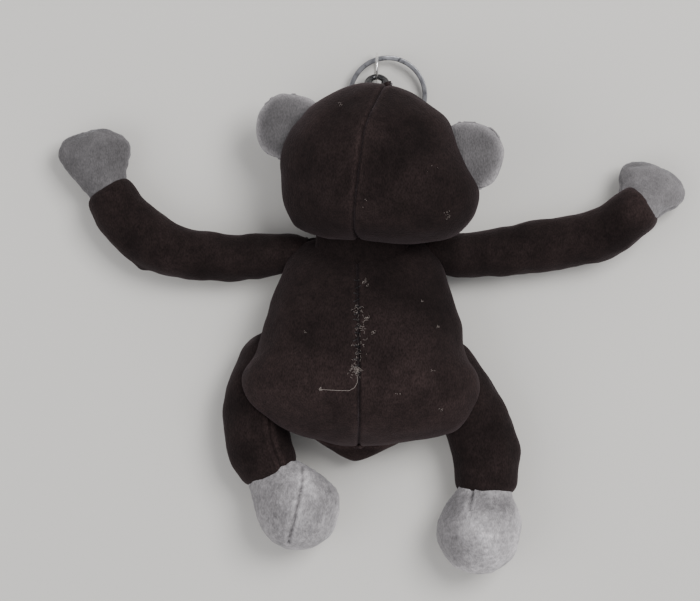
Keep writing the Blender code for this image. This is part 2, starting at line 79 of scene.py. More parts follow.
# Torso: (y, middle x, half width, half depth, middle height), from the neck to the bottom
TORSO_STATIONS = (
    (25.6, -2.6, 0.0, 0.0, 11.6),
    (24.8, -2.6, 12.6, 3.4, 11.6),
    (22.4, -2.5, 20.4, 6.4, 12.2),
    (18.4, -2.3, 24.0, 9.8, 13.6),
    (12.8, -2.1, 25.2, 13.8, 15.4),
    (4.0, -2.5, 28.3, 16.6, 16.5),
    (-4.0, -2.8, 30.9, 18.2, 17.4),
    (-12.0, -3.4, 32.8, 19.4, 18.0),
    (-19.5, -3.6, 36.9, 19.8, 18.4),
    (-27.0, -2.2, 35.5, 18.6, 18.4),
    (-33.0, -0.9, 30.8, 15.6, 18.2),
    (-36.8, 0.2, 25.0, 12.2, 17.6),
    (-39.4, -1.8, 14.6, 7.6, 17.0),
    (-40.8, -4.2, 7.0, 3.6, 16.7),
    (-41.4, -4.2, 0.0, 0.0, 16.6),
)
TORSO_TOP = 64  # spaces round the back from side seam to side seam
TORSO_LOW = 40  # and round the belly
SIDE_SEAM_Z = 14.0
BACK_SEAM = ((-41.0, -3.8), (-20.0, -3.9), (10.0, -4.4), (27.0, -4.4))  # (y, x)
BELLY_TIP = 8.2  # how far the belly panel hangs out past the hem
BELLY_TIP_X = -5.4
BELLY_TIP_HALF_WIDTH = 17.0
BELLY_TIP_START = -22.0
BELLY_TIP_FADE = 16.0
# Painted shade darkens the torso towards the neck, and it is painted lighter towards the bottom,
# partly as painted light and partly as nap that lies another way
TORSO_SHADES = ((-34.0, 1.75), (-20.0, 1.5), (0.0, 1.0), (14.0, 0.9), (24.0, 0.6))  # (y, shade)

# Neck, from its pivot towards the head: (y, middle x, half width, half depth, middle z)
NECK_AHEAD = (0.08, 1.0, 0.25)
NECK_STATIONS = (
    (-11.0, 0.0, 0.0, 0.0, 0.0),
    (-10.0, 0.0, 9.0, 5.0, 0.0),
    (-5.0, 0.0, 14.0, 8.5, 0.0),
    (1.0, 0.0, 14.5, 9.0, 0.5),
    (7.0, 0.0, 13.5, 9.0, 2.0),
    (11.0, 0.0, 8.0, 5.0, 4.0),
    (12.0, 0.0, 0.0, 0.0, 4.0),
)
NECK_BEND = (-4.0, 6.0)  # where the fabric starts and stops bending, along Y

# Head, in its own frame: (y, middle x, half width, half depth, middle z), crown to chin
HEAD_CENTRE = (2.6, 46.4, 26.4)
HEAD_TILT = math.radians(-11.8)
HEAD_ROLL = math.radians(-11.0)
HEAD_STATIONS = (
    (24.2, -1.8, 0.0, 0.0, 0.0),
    (23.0, -1.8, 7.2, 6.0, 0.0),
    (20.3, -1.7, 12.8, 10.6, 0.0),
    (16.9, -0.8, 18.4, 14.2, 0.0),
    (12.9, -1.5, 22.5, 17.6, 0.0),
    (8.0, -1.5, 25.6, 20.0, 0.0),
    (3.0, -0.7, 28.8, 21.5, 0.0),
    (-1.4, 0.6, 31.0, 22.0, 0.0),
    (-6.5, 1.2, 31.6, 21.8, 0.0),
    (-13.0, 1.6, 30.0, 20.2, 0.0),
    (-17.0, 1.6, 28.3, 18.2, 0.0),
    (-20.2, 1.9, 26.0, 15.6, 0.0),
    (-22.4, 1.4, 23.0, 12.0, 0.0),
    (-23.8, 0.6, 17.4, 7.6, 0.0),
    (-24.4, 0.2, 9.6, 4.0, 0.0),
    (-24.7, 0.0, 0.0, 0.0, 0.0),
)
HEAD_TOP = 64
HEAD_LOW = 36
CHIN_SLANT = 0.12  # how much lower the chin is at the left than in the middle, per millimetre
FACE_SEAM_Z = -11.0
CROWN_SEAM = ((-23.0, -1.0), (-8.0, -1.5), (3.0, -2.4), (8.0, -3.0), (22.0, -2.3))  # (y, x)
EAR_PLACES = {"left": (-30.0, 5.2, 0.6), "right": (26.8, 7.4, -0.6)}
EAR_SIZE = (10.7, 10.5, 3.0)
EAR_SIDES = 28
EAR_RIM = 2.2
MUZZLE_PLACE = (0.0, -8.0, -20.5)
MUZZLE_SIZE = (15.5, 11.0, 7.5)
MUZZLE_SIDES = 26
MOUTH_HALF_WIDTH = 9.0
NOSTRIL_PLACES = ((-2.6, 4.2), (2.6, 4.2))
NOSTRIL_SIZE = (0.9, 0.6)

# Sleeves: (x, y, z, radius) from inside the torso outwards
ARM_ROUTES = {
    "left": (
        (-19.5, 18.8, 11.8, 4.6),
        (-25.0, 18.9, 11.8, 6.0),
        (-30.0, 18.4, 11.4, 6.5),
        (-37.0, 17.6, 10.2, 6.9),
        (-45.0, 17.2, 9.2, 7.3),
        (-57.0, 18.6, 8.6, 7.9),
        (-69.0, 22.8, 8.9, 8.5),
        (-77.4, 30.4, 8.9, 8.3),
    ),
    "right": (
        (13.5, 18.6, 11.8, 4.6),
        (19.0, 18.6, 11.8, 6.0),
        (24.0, 18.2, 11.4, 6.5),
        (31.4, 18.3, 10.2, 6.9),
        (41.0, 19.2, 9.2, 7.6),
        (54.4, 21.2, 8.8, 8.1),
        (68.0, 23.6, 10.2, 8.0),
        (75.0, 26.0, 13.0, 7.8),
    ),
}
# How the cuffs close: (distance past the far pivot, share of the last radius)
LEG_CUFF = ((-3.4, 0.93), (-1.2, 0.87), (0.0, 0.76), (0.7, 0.5), (0.9, 0.25))
CUFFS = {
    ("arm", "left"): ((-3.0, 0.93), (-0.6, 0.88), (0.9, 0.76), (1.9, 0.52), (2.3, 0.25)),
    ("arm", "right"): ((-2.6, 0.98), (0.4, 0.94), (2.4, 0.82), (3.8, 0.58), (4.5, 0.28)),
    ("leg", "left"): LEG_CUFF,
    ("leg", "right"): LEG_CUFF,
}
LEG_ROUTES = {
    "left": (
        (-27.5, -8.5, 10.6, 6.4),
        (-31.2, -15.0, 10.6, 9.6),
        (-34.9, -25.0, 10.7, 10.1),
        (-36.1, -33.6, 10.7, 10.2),
        (-34.8, -41.6, 10.7, 10.1),
    ),
    "right": (
        (20.0, -11.0, 10.6, 6.4),
        (23.4, -17.0, 10.6, 8.8),
        (28.8, -26.2, 10.7, 9.9),
        (33.2, -35.0, 10.9, 10.4),
        (36.0, -45.0, 10.9, 10.4),
    ),
}
SLEEVE_SIDES = 40
SLEEVE_SEAMS = {  # the column that each sleeve is sewn along
    ("arm", "left"): 37,
    ("arm", "right"): 23,
    ("leg", "left"): 13,
    ("leg", "right"): 28,
}
ROOT_RADII = {"arm": 7.0, "leg": 9.4}
ELBOW_TUFT = (-72.0, 14.0, 8.0)  # where the left sleeve's seam stands up

# Hands and feet: direction from the pivot, then (distance, half width, half depth)
END_SIDES = 24  # spaces over the upper side, and as many below
HAND_DIRECTIONS = {"left": (-0.34, 0.94, -0.07), "right": (0.38, 0.60, -0.70)}
HAND_ASIDE = {"left": 0.0, "right": 0.2}  # how far off its axis a hand lies
HAND_BREADTH = {"left": 1.0, "right": 0.98}
HAND_SLANT = {"left": -0.14, "right": 0.18}  # how the finger end slopes across
HAND_SECTIONS = (
    (-5.0, 0.0, 0.0),
    (-4.6, 3.5, 3.0),
    (-2.0, 5.8, 5.2),
    (2.0, 7.0, 6.0),
    (6.0, 8.5, 6.4),
    (10.0, 10.6, 6.5),
    (14.0, 11.2, 5.8),
    (17.2, 9.4, 4.6),
    (19.3, 6.2, 3.0),
    (20.4, 2.6, 1.2),
    (20.7, 0.0, 0.0),
)
FOOT_DIRECTIONS = {"left": (0.62, -0.78, 0.07), "right": (-0.17, -0.98, 0.07)}
FOOT_SECTIONS = (
    (-6.0, 0.0, 0.0),
    (-5.4, 4.5, 4.2),
    (-2.0, 7.6, 7.4),
    (3.0, 10.2, 9.8),
    (8.0, 12.2, 11.6),
    (14.0, 13.0, 12.2),
    (18.6, 11.7, 11.0),
    (22.6, 8.0, 7.6),
    (25.0, 4.0, 3.8),
    (25.6, 0.0, 0.0),
)
# Painted highlights and painted shade on the hands and feet: ((x, y) places, factor, width). A factor
# above 1 paints a highlight along a lit rim or patch, and one below 1 paints shade.
PAINTED_HIGHLIGHTS_AND_SHADE = {
    ("foot", "left"): (
        (((-20.6, -51.0), (-17.2, -55.5)), 1.4, 2.4),
        (((-12.0, -56.0), (-16.0, -60.0), (-18.5, -66.0)), 0.74, 3.2),
        (((-24.0, -73.5), (-17.0, -74.0), (-11.5, -69.0), (-10.0, -62.0)), 1.6, 3.0),
        (((-31.0, -55.0), (-28.0, -66.0)), 0.74, 5.0),
    ),
    ("foot", "right"): (
        (((33.5, -58.5), (42.0, -60.0)), 0.62, 3.6),
        (((31.5, -66.5), (36.5, -68.5)), 1.35, 2.2),
        (((36.0, -71.0), (37.5, -76.0)), 1.3, 2.4),
        (((28.0, -80.0), (38.0, -80.5), (45.0, -73.0), (46.5, -64.0)), 1.55, 3.2),
        (((25.0, -60.0), (25.5, -71.0)), 0.68, 4.8),
    ),
    ("hand", "left"): (
        (((-96.0, 48.0), (-92.5, 56.5), (-79.0, 55.5)), 1.2, 2.0),
        (((-84.0, 44.0), (-80.0, 50.0)), 0.9, 3.5),
    ),
    ("hand", "right"): ((((80.0, 45.0), (90.0, 46.0), (97.0, 39.5)), 1.2, 2.0),),
}
END_SEAMS = {  # a foot has a seam over its top, and a hand has one round its edge
    ("hand", "left"): None,
    ("hand", "right"): None,
    ("foot", "left"): ((-21.5, -47.5), (-20.9, -50.5), (-22.4, -58.0), (-25.6, -71.5)),
    ("foot", "right"): ((31.6, -52.0), (31.2, -56.0), (30.2, -60.5)),
}
END_TONES = {
    ("hand", "left"): 0.55,
    ("hand", "right"): 0.68,
    ("foot", "left"): 1.1,
    ("foot", "right"): 1.25,
}

# Hanging loop and rings
CORD_R = 0.95
LOOP_HALF_WIDTH = 2.65
LEG_R = 1.45  # the loop's two legs are plumper than its bight
LEG_SWELL = 3.5  # from the bight's tip to where they are
LOOP_APEX = (1.9, 74.3, 5.0)
LOOP_ROOT = (1.9, 63.4, 13.6)
JUMP_CENTRE = (1.9, 77.3, 5.05)
JUMP_R = 4.4
JUMP_WIRE_R = 0.4
JUMP_GAP = math.radians(4.0)
SPLIT_CENTRE = (5.3, 68.7, 2.75)
SPLIT_R = 11.75
SPLIT_WIDTH = 1.5
SPLIT_LAYER = 0.85
SPLIT_SLIT = 0.1  # between the two turns
SPLIT_TILT = math.radians(8.2)
SPLIT_STEP_AT = math.radians(84.0)
SPLIT_RAMP = math.radians(12.0)

# Closing stitches down the back seam, a loose thread end, and lint
STITCHES = 15
STITCH_TOP = (-4.4, 10.0)
STITCH_STEP = 2.0
STITCH_REACH = 0.9
STITCH_R = 0.13
TAIL_ROUTE = (
    (-4.4, -18.6),
    (-4.3, -20.9),
    (-5.2, -22.6),
    (-6.9, -23.5),
    (-11.0, -23.4),
    (-16.0, -23.1),
)
TAIL_R = 0.05
BACK_LINT_R = 0.027
HEAD_LINT_R = 0.025
BACK_LINT = (  # (x, y, count, spread, length)
    (-2.2, 9.4, 10, 0.5, 0.9),
    (-4.2, 0.9, 18, 0.9, 1.0),
    (-1.6, -1.6, 14, 0.4, 0.8),
    (-3.1, -4.1, 18, 0.8, 0.9),
    (0.3, -5.9, 10, 0.3, 0.6),
    (-3.4, -9.0, 14, 1.2, 0.8),
    (-4.0, -13.0, 12, 0.8, 0.9),
    (-4.7, -17.2, 60, 0.9, 0.9),
    (-15.6, -23.1, 14, 0.25, 0.6),
    (-2.8, 19.7, 6, 0.5, 1.0),
    (15.3, 3.7, 8, 0.25, 0.4),
    (20.3, -4.1, 8, 0.25, 0.4),
    (18.7, -17.5, 5, 0.3, 0.4),
    (21.2, -29.4, 6, 0.4, 0.5),
    (-20.0, -6.0, 3, 0.3, 0.5),
    (8.0, -24.0, 4, 0.5, 0.4),
)
HEAD_LINT = (
    (-9.4, 63.4, 8, 0.25, 0.4),
    (23.1, 30.0, 10, 0.7, 0.6),
    (25.3, 21.9, 6, 0.4, 0.5),
    (18.0, 44.0, 3, 1.5, 0.5),
    (-3.0, 33.0, 3, 1.5, 0.5),
)

# Studio, in metres where it isn't the view
CAMERA_HEIGHT = 0.92
SENSOR_WIDTH = 36.0
VIEW_CENTRE = (-6.56, 3.9, 12.0)
VIEW_WIDTH = 218.75
FLOOR_HALF = 3.0
LAMPS = (  # (name, place, size, watts)
    ("key", (0.55, 0.40, 1.1), 0.6, 13.0),
    ("fill", (-0.8, -0.3, 0.9), 0.9, 4.0),
)


# ---- skins

def smooth_rows(rows, spacing, measured):
    """Rows about a spacing apart along a Catmull-Rom curve; measured says which columns count
    as distance. The first and last rows are kept."""
    rows = np.array(rows, float)
    ends = np.vstack([2 * rows[0] - rows[1], rows, 2 * rows[-1] - rows[-2]])
    fine = []
    for before, here, after, beyond in zip(ends, ends[1:], ends[2:], ends[3:]):
        t = np.linspace(0, 1, 24, endpoint=False)[:, None]
        bend = 2 * before - 5 * here + 4 * after - beyond
        twist = 3 * here - before - 3 * after + beyond
        fine.append(here + 0.5 * ((after - before) * t + bend * t**2 + twist * t**3))
    fine = np.vstack(fine + [rows[-1:]])
    steps = np.linalg.norm(np.diff(fine[:, measured], axis=0), axis=1)
    reached = np.concatenate([[0.0], np.cumsum(steps)])
    even = np.linspace(0, reached[-1], max(int(round(reached[-1] / spacing)), 4) + 1)
    return np.stack([np.interp(even, reached, column) for column in fine.T], axis=1)


def placed(matrix, points):
    """Rows of points moved by a matrix."""
    turn = np.array(matrix.to_3x3())
    return np.asarray(points) @ turn.T + np.array(matrix.translation)


def corner_lists(faces):
    """Faces as lists of different corners, for a mesh."""
    return [list(dict.fromkeys(face)) for face in faces.tolist()]


class Skin:
    """A closed surface of equal rings between two end points, with a shade at each point."""

    def __init__(self, rings, first, last):
        self.rings = np.array(rings, float)
        self.first = np.array(first, float)
        self.last = np.array(last, float)
        self.shade = np.ones(self.rings.shape[0] * self.rings.shape[1] + 2)

    @property
    def columns(self):
        return self.rings.shape[1]

    def points(self):
        """Every ring's points, then the two end points."""
        return np.vstack([self.rings.reshape(-1, 3), self.first, self.last])

    def take(self, points):
        """Puts points in that order back as the surface."""
        self.rings = points[:-2].reshape(self.rings.shape)
        self.first = points[-2]
        self.last = points[-1]

    def faces(self):
        """Each face's four corners, facing out, and its column. An end's triangle repeats one."""
        rows, columns = self.rings.shape[:2]
        side = np.arange(columns)
        after = (side + 1) % columns
        low = (np.arange(rows - 1) * columns)[:, None]
        high = low + columns
        bands = np.stack([low + side, low + after, high + after, high + side], axis=2)
        end = (rows - 1) * columns
        near = np.full(columns, rows * columns)
        caps = [
            np.stack([after, side, near, near], axis=1),
            np.stack([end + side, end + after, near + 1, near + 1], axis=1),
        ]
        faces = np.vstack([bands.reshape(-1, 4), *caps])
        sides = np.concatenate([np.tile(side, rows - 1), side, side])
        corners = self.points()[faces]
        first = np.cross(corners[:, 1], corners[:, 2])
        second = np.cross(corners[:, 2], corners[:, 3])
        volume = (corners[:, 0] * (first + second)).sum()
        return (faces if volume > 0 else faces[:, ::-1]), sides

    def normals(self):
        """The unit normal at each point, facing out."""
        points = self.points()
        faces, _ = self.faces()
        corners = points[faces]
        area = np.cross(corners[:, 2] - corners[:, 0], corners[:, 3] - corners[:, 1])
        total = np.zeros_like(points)
        for corner in range(4):
            np.add.at(total, faces[:, corner], area)
        return total / np.maximum(np.linalg.norm(total, axis=1, keepdims=True), 1e-9)

    def refine(self):
        """Doubles the rows and columns on smooth curves through the points."""
        columns = self.columns
        rows = np.concatenate(
            [np.repeat(self.first[None, None], columns, 1), self.rings,
             np.repeat(self.last[None, None], columns, 1)]
        )
        before = np.roll(rows, 1, axis=1)
        after = np.roll(rows, -1, axis=1)
        beyond = np.roll(rows, -2, axis=1)
        between = (9 * (rows + after) - before - beyond) / 16
        wide = np.stack([rows, between], axis=2).reshape(len(rows), 2 * columns, 3)
        middle = (wide[:-1] + wide[1:]) / 2
        middle[1:-1] = (9 * (wide[1:-2] + wide[2:-1]) - wide[:-3] - wide[3:]) / 16
        tall = np.empty((2 * len(wide) - 1, 2 * columns, 3))
        tall[0::2] = wide
        tall[1::2] = middle
        self.rings = tall[1:-1]
        self.shade = np.ones(self.rings.shape[0] * self.rings.shape[1] + 2)

    def shift(self, distances):
        """Moves each point along its normal."""
        self.take(self.points() + self.normals() * distances[:, None])

    def distances(self, path):
        """How far each point is from a path of close points."""
        points = self.points()
        nearest = np.full(len(points), np.inf)
        for start in range(0, len(path), 64):
            gaps = points[:, None] - np.asarray(path)[None, start:start + 64]
            nearest = np.minimum(nearest, np.linalg.norm(gaps, axis=2).min(axis=1))
        return nearest

    def press(self, path, depth=SEAM_DEPTH, width=SEAM_WIDTH, dark=0.35, rim=0.35):
        """Presses a seam's groove along a path, with painted shade inside it and a painted highlight
        beside it.
        """
        nearest = self.distances(path)
        self.shift(-depth * np.exp(-((nearest / width) ** 2)))
        self.shade *= 1 - dark * np.exp(-((nearest / (0.7 * width)) ** 2))
        self.shade *= 1 + rim * np.exp(-(((nearest - 1.9 * width) / width) ** 2))

    def lumps(self, size, height, seed, uneven=0.0):
        """Low uneven swellings, as stuffing makes, painted lighter on the swellings and darker
        between them, as light falls on them.
        """
        offset = Vector((seed * 7.3, seed * 3.1, seed * 1.7))
        heights = np.array([noise.noise(Vector(point) / size + offset) for point in self.points()])
        self.shift(heights * height)
        self.shade *= 1 + uneven * heights

    def tint(self, places, factor, width):
        """Paints a highlight, for a factor above 1, or shade, for one below 1, near places on the
        upper side.
        """
        nearest = self.distances(self.draped(places))
        self.shade *= 1 + (factor - 1) * np.exp(-((nearest / width) ** 2))

    def pull(self, place, height, width):
        """Pulls the skin out at one place."""
        gaps = np.linalg.norm(self.points() - np.array(place), axis=1)
        self.shift(height * np.exp(-((gaps / width) ** 2)))

    def settle(self):
        """Flattens the skin where it would sink into the floor."""
        points = self.points()
        points[:, 2] = np.maximum(points[:, 2], FLOOR_GAP)
        self.take(points)

    def column(self, index):
        """The points of one column from end to end."""
        return np.vstack([self.first, self.rings[:, index % self.columns], self.last])

    def tree(self):
        faces, _ = self.faces()
        return BVHTree.FromPolygons([Vector(point) for point in self.points()], corner_lists(faces))

    def draped(self, route, step=0.5, lift=0.0, tree=None):
        """Close points along a route of (x, y) places, lying on the skin's upper side."""
        tree = tree or self.tree()
        route = np.array(route, float)
        lengths = np.linalg.norm(np.diff(route, axis=0), axis=1)
        reached = np.concatenate([[0.0], np.cumsum(lengths)])
        even = np.linspace(0, reached[-1], max(int(reached[-1] / step), 1) + 1)
        found = []
        for x, y in zip(np.interp(even, reached, route[:, 0]), np.interp(even, reached, route[:, 1])):
            hit = tree.ray_cast(Vector((x, y, 200.0)), Vector((0, 0, -1)))[0]
            if hit is not None:
                found.append((hit.x, hit.y, hit.z + lift))
        return found


def seam_ring(half_width, half_depth, middle, seam, top, low, turn):
    """A ring in X and Z whose columns 0 and top lie on the side seam's level, and whose middle
    upper column is turned off the top to meet the back seam."""
    level = np.clip((seam - middle) / max(half_depth, 1e-6), -0.75, 0.75)
    start = math.asin(level)
    over = np.linspace(start, math.pi - start, top + 1)
    over = over + turn * np.sin(np.linspace(0, math.pi, top + 1))
    under = np.linspace(math.pi - start, math.tau + start, low + 1)[1:-1]
    angle = np.concatenate([over, under])
    return half_width * np.cos(angle), middle + half_depth * np.sin(angle)


def lofted(rows, spacing, matrix=None, seam=None, top=0, low=0, back=None):
    """A skin through (y, middle x, half width, half depth, middle z) rows, in a frame. The
    side seams lie at the height seam, and the back seam at the (y, x) places in back."""
    matrix = matrix or Matrix()
    rows = smooth_rows(rows, spacing, [0, 2])
    rings = []
    for y, aside, half_width, half_depth, middle in rows[1:-1]:
        level = middle if seam is None else seam
        wide = max(half_width, 0.2)
        turn = 0.0
        if back:
            off = aside - np.interp(y, *zip(*back))
            turn = math.asin(min(max(off / wide, -0.4), 0.4))
        x, z = seam_ring(wide, max(half_depth, 0.2), middle, level, top, low, turn)
        rings.append(placed(matrix, np.stack([x + aside, np.full_like(x, y), z], axis=1)))
    ends = [placed(matrix, [(rows[k][1], rows[k][0], rows[k][4])])[0] for k in (0, -1)]
    return Skin(rings, *ends)


def along(direction, pivot):
    """A frame at a pivot with +Y along a limb, +X level across it and +Z its upper side."""
    ahead = Vector(direction).normalized()
    across = Vector((ahead.y, -ahead.x, 0.0)).normalized()
    up = across.cross(ahead)
    return Matrix.Translation(pivot) @ Matrix((across, ahead, up)).transposed().to_4x4()


def sleeve(stations, columns, spacing):
    """A tube through (x, y, z, radius) stations, closed at both ends."""
    rows = smooth_rows(stations, spacing, slice(0, 4))
    rings = []
    for index, row in enumerate(rows):
        ahead = rows[min(index + 1, len(rows) - 1)][:3] - rows[max(index - 1, 0)][:3]
        ring_frame = along(ahead, row[:3])
        angle = np.arange(columns) * math.tau / columns
        ring = np.stack([np.cos(angle), np.zeros(columns), np.sin(angle)], axis=1) * row[3]
        rings.append(placed(ring_frame, ring))
    return Skin(rings, rows[0][:3], rows[-1][:3])


def puff(skin, kind, pinned):
    """Fills a skin out with cloth pressure between its pinned points."""
    pressure, cap = CLOTH_FILLS[kind]
    points = skin.points()
    faces, _ = skin.faces()
    mesh = bpy.data.meshes.new("cloth")
    mesh.from_pydata((points * MM * CLOTH_SCALE).tolist(), [], corner_lists(faces))
    cloth = bpy.data.objects.new("cloth", mesh)
    bpy.context.scene.collection.objects.link(cloth)
    pins = cloth.vertex_groups.new(name="pins")
    pins.add([int(index) for index in pinned], 1.0, "REPLACE")
    modifier = cloth.modifiers.new("cloth", "CLOTH")
    settings = modifier.settings
    settings.quality = 5
    settings.mass = 0.3
    settings.tension_stiffness = 15
    settings.compression_stiffness = 15
    settings.shear_stiffness = 5
    settings.bending_stiffness = 0.5
    settings.use_pressure = True
    settings.uniform_pressure_force = pressure
    settings.vertex_group_mass = "pins"
    settings.effector_weights.gravity = 0.0
    modifier.point_cache.frame_start = 1
    modifier.point_cache.frame_end = CLOTH_FRAMES
    for step in range(1, CLOTH_FRAMES + 1):
        bpy.context.scene.frame_set(step)
    evaluated = cloth.evaluated_get(bpy.context.evaluated_depsgraph_get())
    moved = np.empty(len(points) * 3, np.float32)
    evaluated.data.vertices.foreach_get("co", moved)
    travel = moved.reshape(-1, 3) / (MM * CLOTH_SCALE) - points
    length = np.linalg.norm(travel, axis=1, keepdims=True)
    skin.take(points + travel * np.minimum(1.0, cap / np.maximum(length, 1e-9)))
    bpy.data.objects.remove(cloth, do_unlink=True)
    bpy.context.scene.frame_set(1)


def pinned_columns(skin, *columns):
    """The points of these columns and the two end points."""
    rows = len(skin.rings)
    found = [row * skin.columns + column for column in columns for row in range(rows)]
    return found + [rows * skin.columns, rows * skin.columns + 1]


def pinned_rows(skin, *rows):
    """The points of these rings, counted from the first, or from the last where negative."""
    count = len(skin.rings)
    return [(row % count) * skin.columns + side for row in rows for side in range(skin.columns)]


# ---- pieces

def new_piece(name, points, faces, material, shade=None):
    """A smooth mesh object from points in millimetres, with a shade for each."""
    used, corners = np.unique(faces, return_inverse=True)
    mesh = bpy.data.meshes.new(name)
    faces = corner_lists(corners.reshape(faces.shape))
    mesh.from_pydata((np.asarray(points)[used] * MM).tolist(), [], faces)
    mesh.shade_smooth()
    mesh.materials.append(material)
    if shade is not None:
        attribute = mesh.attributes.new("shade", "FLOAT", "POINT")
        attribute.data.foreach_set("value", shade[used].astype(np.float32))
    piece = bpy.data.objects.new(name, mesh)
    bpy.context.scene.collection.objects.link(piece)
    return piece


def applied(piece):
    """Applies a piece's modifiers to its mesh."""
    evaluated = piece.evaluated_get(bpy.context.evaluated_depsgraph_get())
    mesh = bpy.data.meshes.new_from_object(evaluated)
    piece.modifiers.clear()
    piece.data = mesh
    return piece


def panel(name, skin, material, first, last):
    """The columns from first to last of a skin, as a shell of real fabric."""
    faces, sides = skin.faces()
    faces = faces[(sides >= first) & (sides < last)]
    piece = new_piece(name, skin.points(), faces, material, skin.shade)
    shell = piece.modifiers.new("shell", "SOLIDIFY")
    shell.thickness = PANEL_THICKNESS * MM
    shell.offset = -1.0
    return applied(piece)


def whole(name, skin, material):
    """A whole skin as one piece."""
    return new_piece(name, skin.points(), skin.faces()[0], material, skin.shade)


def thread(name, routes, radius, material, resolution=2):
    """Fine round threads through points in millimetres, as one mesh."""
    curve = bpy.data.curves.new(name, "CURVE")
    curve.dimensions = "3D"
    curve.bevel_depth = radius * MM
    curve.bevel_resolution = resolution
    curve.use_fill_caps = True
    for route in routes:
        spline = curve.splines.new("POLY")
        spline.points.add(len(route) - 1)
        for point, place in zip(spline.points, route):
            point.co = (*[value * MM for value in place], 1.0)
    shaper = bpy.data.objects.new("shaper", curve)
    bpy.context.scene.collection.objects.link(shaper)
    evaluated = shaper.evaluated_get(bpy.context.evaluated_depsgraph_get())
    mesh = bpy.data.meshes.new_from_object(evaluated)
    bpy.data.objects.remove(shaper, do_unlink=True)
    mesh.materials.clear()
    mesh.materials.append(material)
    mesh.shade_smooth()
    piece = bpy.data.objects.new(name, mesh)
    bpy.context.scene.collection.objects.link(piece)
    return piece


def ring_skin(name, rings, material, ends=None):
    """A bar through rings of points, closed on itself or at its two end points."""
    rings = np.array(rings)
    if ends is not None:
        return whole(name, Skin(rings, *ends), material)
    rows, columns = rings.shape[:2]
    side = np.arange(columns)
    after = (side + 1) % columns
    low = (np.arange(rows) * columns)[:, None]
    high = (low + columns) % (rows * columns)
    faces = np.stack([low + side, high + side, high + after, low + after], axis=2).reshape(-1, 4)
    return new_piece(name, rings.reshape(-1, 3), faces, material)


# ---- materials

def principled(name):
    material = bpy.data.materials.new(name)
    material.use_nodes = True
    return material, material.node_tree, material.node_tree.nodes["Principled BSDF"]


def object_place(tree):
    return tree.nodes.new("ShaderNodeTexCoord").outputs["Object"]


def coloured(tree, shader, colour, factor):
    """Gives a shader a colour times a factor."""
    tint = tree.nodes.new("ShaderNodeVectorMath")
    tint.operation = "SCALE"
    tint.inputs[0].default_value = colour
    tree.links.new(factor, tint.inputs["Scale"])
    tree.links.new(tint.outputs["Vector"], shader.inputs["Base Color"])


def raised(tree, shader, height, strength, distance):
    """Gives a shader a relief, its distance in millimetres."""
    bump = tree.nodes.new("ShaderNodeBump")
    bump.inputs["Strength"].default_value = strength
    bump.inputs["Distance"].default_value = distance * MM
    tree.links.new(height, bump.inputs["Height"])
    tree.links.new(bump.outputs["Normal"], shader.inputs["Normal"])


def speckle(tree, vector, scale, detail, low, high):
    """A noise that runs between two brightness factors."""
    texture = tree.nodes.new("ShaderNodeTexNoise")
    texture.inputs["Scale"].default_value = scale
    texture.inputs["Detail"].default_value = detail
    tree.links.new(vector, texture.inputs["Vector"])
    spread = tree.nodes.new("ShaderNodeMapRange")
    spread.inputs["From Min"].default_value = 0.32
    spread.inputs["From Max"].default_value = 0.68
    spread.inputs["To Min"].default_value = low
    spread.inputs["To Max"].default_value = high
    tree.links.new(texture.outputs["Fac"], spread.inputs["Value"])
    return spread.outputs["Result"]


def multiplied(tree, first, second):
    product = tree.nodes.new("ShaderNodeMath")
    product.operation = "MULTIPLY"
    tree.links.new(first, product.inputs[0])
    tree.links.new(second, product.inputs[1])
    return product.outputs["Value"]


def stretched(tree, vector, scale):
    """The same places, with the nap's fibres drawn out along the body."""
    mapping = tree.nodes.new("ShaderNodeMapping")
    mapping.inputs["Scale"].default_value = scale
    tree.links.new(vector, mapping.inputs["Vector"])
    return mapping.outputs["Vector"]


def plush(name, colour, sheen, sheen_tint, patch, mottling, fibre, relief):
    """Short plush: patches where the nap lies another way, mottled pile and fine fibres, with a soft
    sheen. The last four say how strong the patches, the mottling, the fibres and the relief are."""
    material, tree, shader = principled(name)
    place = object_place(tree)
    nap = stretched(tree, place, (1.0, 0.4, 1.0))
    patches = speckle(tree, place, 60.0, 2.0, 1 - patch, 1 + patch)
    mottle = speckle(tree, place, 480.0, 3.0, 1 - mottling, 1 + mottling)
    fibres = speckle(tree, nap, 3000.0, 2.0, 1 - fibre, 1 + fibre)
    shade = tree.nodes.new("ShaderNodeAttribute")
    shade.attribute_name = "shade"
    factor = multiplied(tree, multiplied(tree, patches, mottle), fibres)
    coloured(tree, shader, colour, multiplied(tree, factor, shade.outputs["Fac"]))
    shader.inputs["Roughness"].default_value = 0.95
    shader.inputs["Specular IOR Level"].default_value = 0.12
    shader.inputs["Sheen Weight"].default_value = sheen
    shader.inputs["Sheen Roughness"].default_value = 0.4
    shader.inputs["Sheen Tint"].default_value = (*sheen_tint, 1.0)
    pile = speckle(tree, nap, 1800.0, 4.0, 0.0, 1.0)
    raised(tree, shader, pile, relief, 0.25)
    return material


def thread_material(name, colour, roughness):
    """Spun fibre, a little lighter and darker along its length."""
    material, tree, shader = principled(name)
    coloured(tree, shader, colour, speckle(tree, object_place(tree), 3000.0, 2.0, 0.75, 1.25))
    shader.inputs["Roughness"].default_value = roughness
    return material


def steel_material(name, colour, roughness, scratch):
    """Plated steel with fine wear in its roughness and surface."""
    material, tree, shader = principled(name)
    place = object_place(tree)
    shader.inputs["Base Color"].default_value = (*colour, 1.0)
    shader.inputs["Metallic"].default_value = 1.0
    worn = speckle(tree, place, 700.0, 5.0, roughness * 0.7, roughness * 1.5)
    tree.links.new(worn, shader.inputs["Roughness"])
    raised(tree, shader, speckle(tree, place, 2500.0, 5.0, 0.0, 1.0), scratch, 0.02)
    return material


